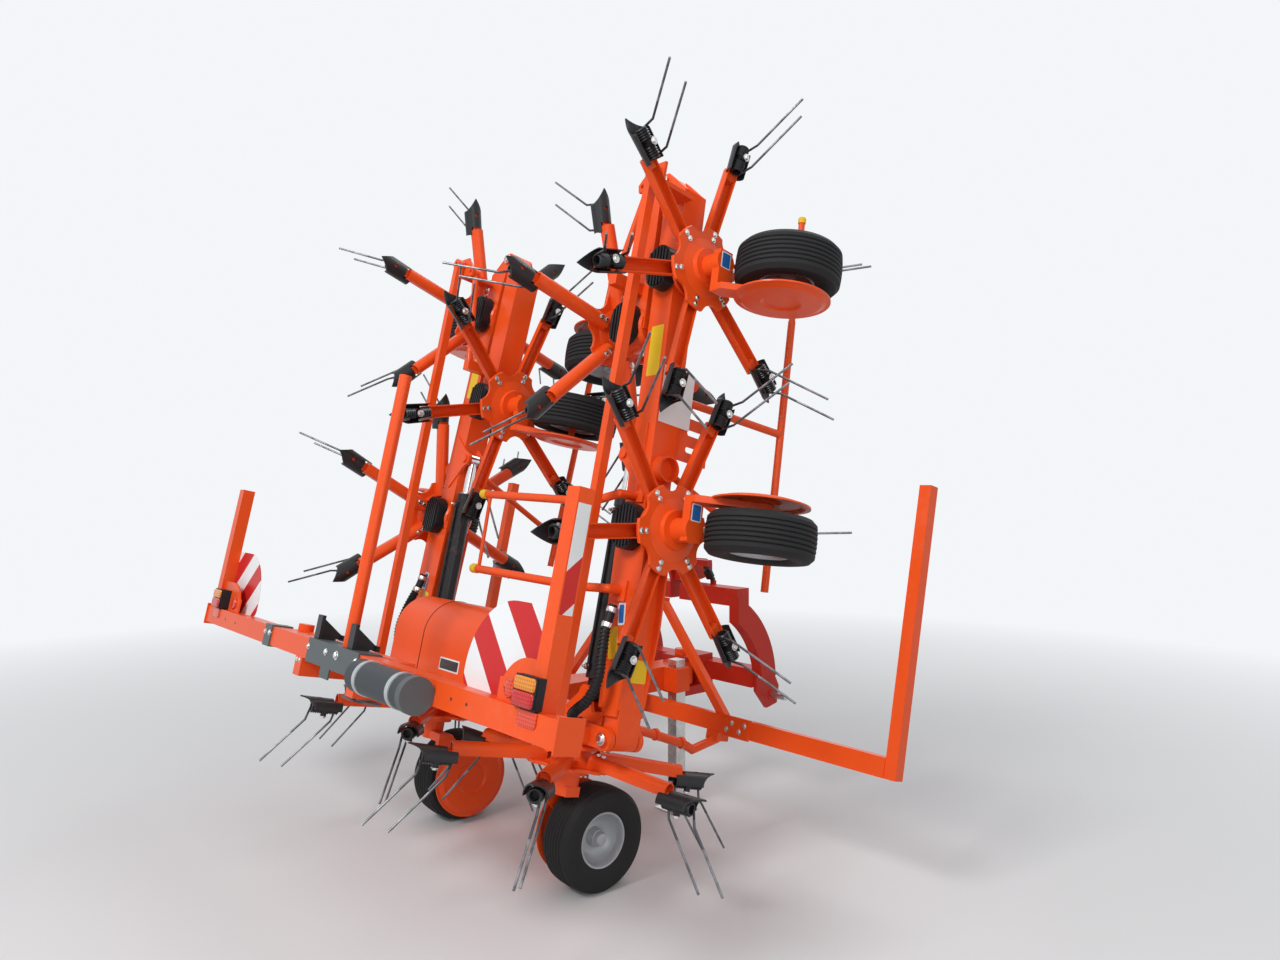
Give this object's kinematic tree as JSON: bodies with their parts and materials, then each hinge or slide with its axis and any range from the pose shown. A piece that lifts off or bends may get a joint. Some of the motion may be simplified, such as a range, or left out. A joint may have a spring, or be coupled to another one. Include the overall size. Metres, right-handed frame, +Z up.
{
  "type": "folded hay tedder",
  "caption": "Mounted hay tedder folded for the road: upright wings, outer rotors turned inwards, tined arms on wheeled rotors.",
  "frame": {"origin": "middle of the bounding box at ground level", "axes": "+Z up, +Y forward to the tractor, +X to the right of travel"},
  "size_m": [2.95, 2.2632, 3.2196],
  "materials": {
    "red_paint": "glossy",
    "dark_red_paint": "glossy",
    "tyre": "matte",
    "spring_steel": "satin",
    "black_enamel": "satin",
    "chrome_rod": "polished",
    "grey_steel": "satin",
    "white_panel": "matte",
    "lamp_lens": "glossy",
    "dark_plastic": "satin",
    "rubber_boot": "matte",
    "hose_rubber": "matte"
  },
  "bodies": {
    "frame": {"centre_frame": "red_paint", "centre_gearbox": "red_paint", "hood": "red_paint", "rear_bar": "red_paint", "warning_panels": "white_panel", "lamps": "lamp_lens", "canister": "dark_plastic", "front_bar": "red_paint", "boots": "rubber_boot", "clamps": "grey_steel", "hoses": "hose_rubber", "lamp_housings": "dark_plastic", "rests": "black_enamel", "stays": "red_paint"},
    "headstock": {"headstock": "dark_red_paint", "damper": "black_enamel"},
    "parking_leg": {"parking_leg": "grey_steel"},
    "wing_r": {"wing_r": "red_paint", "tip_r": "red_paint", "guard_r": "red_paint", "hoops_r": "red_paint", "levers_r": "red_paint", "boots_r": "rubber_boot"},
    "cylinder_r": {"cylinder_r": "black_enamel"},
    "piston_r": {"piston_r": "chrome_rod"},
    "fold_rod_r": {"fold_rod_r": "red_paint"},
    "wing_l": {"wing_l": "red_paint", "tip_l": "red_paint", "guard_l": "red_paint", "levers_l": "red_paint", "boots_l": "rubber_boot"},
    "cylinder_l": {"cylinder_l": "black_enamel"},
    "piston_l": {"piston_l": "chrome_rod"},
    "fold_rod_l": {"fold_rod_l": "red_paint"},
    "rotor_c1": {"rotor_c1": "red_paint", "tines_c1": "spring_steel"},
    "wheel_c1": {"wheel_c1": "tyre"},
    "rotor_c2": {"rotor_c2": "red_paint", "tines_c2": "spring_steel"},
    "wheel_c2": {"wheel_c2": "tyre"},
    "rotor_r1": {"rotor_r1": "red_paint", "tines_r1": "spring_steel"},
    "wheel_r1": {"wheel_r1": "tyre"},
    "rotor_r2": {"rotor_r2": "red_paint", "tines_r2": "spring_steel"},
    "wheel_r2": {"wheel_r2": "tyre"},
    "rotor_r3": {"rotor_r3": "red_paint", "tines_r3": "spring_steel"},
    "wheel_r3": {"wheel_r3": "tyre"},
    "rotor_l1": {"rotor_l1": "red_paint", "tines_l1": "spring_steel"},
    "wheel_l1": {"wheel_l1": "tyre"},
    "rotor_l2": {"rotor_l2": "red_paint", "tines_l2": "spring_steel"},
    "wheel_l2": {"wheel_l2": "tyre"},
    "rotor_l3": {"rotor_l3": "red_paint", "tines_l3": "spring_steel"},
    "wheel_l3": {"wheel_l3": "tyre"}
  },
  "joints": [
    {"name": "headstock_swivel", "type": "hinge", "parent": "frame", "child": "headstock", "pos_m": [0, 0.84662, 0.62], "axis": [0, 0, 1], "range_deg": [-10, 10]},
    {"name": "parking_leg_slide", "type": "slide", "parent": "frame", "child": "parking_leg", "axis": [0, 0, 1], "range_m": [0, 0.3]},
    {"name": "wing_r_fold", "type": "hinge", "parent": "frame", "child": "wing_r", "pos_m": [0.79, -0.22303, 0.65707], "axis": [0, 0.9756, -0.2193], "range_deg": [0, 93.3]},
    {"name": "cylinder_r_pivot", "type": "hinge", "parent": "frame", "child": "cylinder_r", "pos_m": [0.612, -0.21206, 0.79707], "axis": [0, 0.9756, -0.2193], "range_deg": [0, 91.15]},
    {"name": "piston_r_slide", "type": "slide", "parent": "cylinder_r", "child": "piston_r", "axis": [-0.0021, 0.2193, 0.9756], "range_m": [0, 0.32625]},
    {"name": "fold_rod_r_pivot", "type": "hinge", "parent": "frame", "child": "fold_rod_r", "pos_m": [0.716, -0.47918, 0.67571], "axis": [0, 0.9756, -0.2193], "range_deg": [0, 90.4]},
    {"name": "wing_l_fold", "type": "hinge", "parent": "frame", "child": "wing_l", "pos_m": [-0.79, -0.22303, 0.65707], "axis": [0, -0.9756, 0.2193], "range_deg": [0, 93.3]},
    {"name": "cylinder_l_pivot", "type": "hinge", "parent": "frame", "child": "cylinder_l", "pos_m": [-0.612, -0.21206, 0.79707], "axis": [0, -0.9756, 0.2193], "range_deg": [0, 91.15]},
    {"name": "piston_l_slide", "type": "slide", "parent": "cylinder_l", "child": "piston_l", "axis": [0.0021, 0.2193, 0.9756], "range_m": [0, 0.32625]},
    {"name": "fold_rod_l_pivot", "type": "hinge", "parent": "frame", "child": "fold_rod_l", "pos_m": [-0.716, -0.47918, 0.67571], "axis": [0, -0.9756, 0.2193], "range_deg": [0, 90.22]},
    {"name": "rotor_c1_spin", "type": "hinge", "parent": "frame", "child": "rotor_c1", "pos_m": [-0.5265, -0.26054, 0.49023], "axis": [0, 0.2193, 0.9756], "continuous": true},
    {"name": "wheel_c1_spin", "type": "hinge", "parent": "frame", "child": "wheel_c1", "pos_m": [-0.5265, -0.14006, 0.2055], "axis": [-1, 0, 0], "continuous": true},
    {"name": "rotor_c2_spin", "type": "hinge", "parent": "frame", "child": "rotor_c2", "pos_m": [0.5265, -0.26054, 0.49023], "axis": [0, 0.2193, 0.9756], "continuous": true},
    {"name": "wheel_c2_spin", "type": "hinge", "parent": "frame", "child": "wheel_c2", "pos_m": [0.5265, -0.14006, 0.2055], "axis": [1, 0, 0], "continuous": true},
    {"name": "rotor_r1_spin", "type": "hinge", "parent": "wing_r", "child": "rotor_r1", "pos_m": [0.91527, -0.04799, 1.43567], "axis": [-0.9983, -0.0126, -0.0562], "continuous": true},
    {"name": "wheel_r1_spin", "type": "hinge", "parent": "wing_r", "child": "wheel_r1", "pos_m": [1.16623, 0.1308, 1.41031], "axis": [-0.0576, 0.219, 0.974], "continuous": true},
    {"name": "rotor_r2_spin", "type": "hinge", "parent": "wing_r", "child": "rotor_r2", "pos_m": [0.85466, 0.18258, 2.46133], "axis": [-0.9983, -0.0126, -0.0562], "continuous": true},
    {"name": "wheel_r2_spin", "type": "hinge", "parent": "wing_r", "child": "wheel_r2", "pos_m": [1.10561, 0.36137, 2.43597], "axis": [-0.0576, 0.219, 0.974], "continuous": true},
    {"name": "rotor_r3_spin", "type": "hinge", "parent": "wing_r", "child": "rotor_r3", "pos_m": [0.3371, 0.13188, 2.23578], "axis": [0.9983, 0.0126, 0.0562], "continuous": true},
    {"name": "wheel_r3_spin", "type": "hinge", "parent": "wing_r", "child": "wheel_r3", "pos_m": [0.08614, 0.30432, 2.18218], "axis": [0.0576, -0.219, -0.974], "continuous": true},
    {"name": "rotor_l1_spin", "type": "hinge", "parent": "wing_l", "child": "rotor_l1", "pos_m": [-0.91527, -0.04799, 1.43567], "axis": [0.9983, -0.0126, -0.0562], "continuous": true},
    {"name": "wheel_l1_spin", "type": "hinge", "parent": "wing_l", "child": "wheel_l1", "pos_m": [-1.16623, 0.1308, 1.41031], "axis": [0.0576, 0.219, 0.974], "continuous": true},
    {"name": "rotor_l2_spin", "type": "hinge", "parent": "wing_l", "child": "rotor_l2", "pos_m": [-0.85466, 0.18258, 2.46133], "axis": [0.9983, -0.0126, -0.0562], "continuous": true},
    {"name": "wheel_l2_spin", "type": "hinge", "parent": "wing_l", "child": "wheel_l2", "pos_m": [-1.10561, 0.36137, 2.43597], "axis": [0.0576, 0.219, 0.974], "continuous": true},
    {"name": "rotor_l3_spin", "type": "hinge", "parent": "wing_l", "child": "rotor_l3", "pos_m": [-0.3523, 0.07407, 1.97864], "axis": [-0.9983, 0.0126, 0.0562], "continuous": true},
    {"name": "wheel_l3_spin", "type": "hinge", "parent": "wing_l", "child": "wheel_l3", "pos_m": [-0.10134, 0.24651, 1.92504], "axis": [-0.0576, -0.219, -0.974], "continuous": true}
  ],
  "couplings": [
    {"joint": "cylinder_r_pivot", "follows": "wing_r_fold", "ratio": 0.97642},
    {"joint": "piston_r_slide", "follows": "wing_r_fold", "m_per_rad": 0.20004},
    {"joint": "fold_rod_r_pivot", "follows": "wing_r_fold", "ratio": 0.96837},
    {"joint": "cylinder_l_pivot", "follows": "wing_l_fold", "ratio": 0.97642},
    {"joint": "piston_l_slide", "follows": "wing_l_fold", "m_per_rad": 0.20004},
    {"joint": "fold_rod_l_pivot", "follows": "wing_l_fold", "ratio": 0.9664},
    {"joint": "rotor_l3_spin", "follows": "rotor_c2_spin", "ratio": 1},
    {"joint": "rotor_l2_spin", "follows": "rotor_c2_spin", "ratio": -1},
    {"joint": "rotor_l1_spin", "follows": "rotor_c2_spin", "ratio": 1},
    {"joint": "rotor_c1_spin", "follows": "rotor_c2_spin", "ratio": -1},
    {"joint": "rotor_r1_spin", "follows": "rotor_c2_spin", "ratio": -1},
    {"joint": "rotor_r2_spin", "follows": "rotor_c2_spin", "ratio": 1},
    {"joint": "rotor_r3_spin", "follows": "rotor_c2_spin", "ratio": -1}
  ]
}
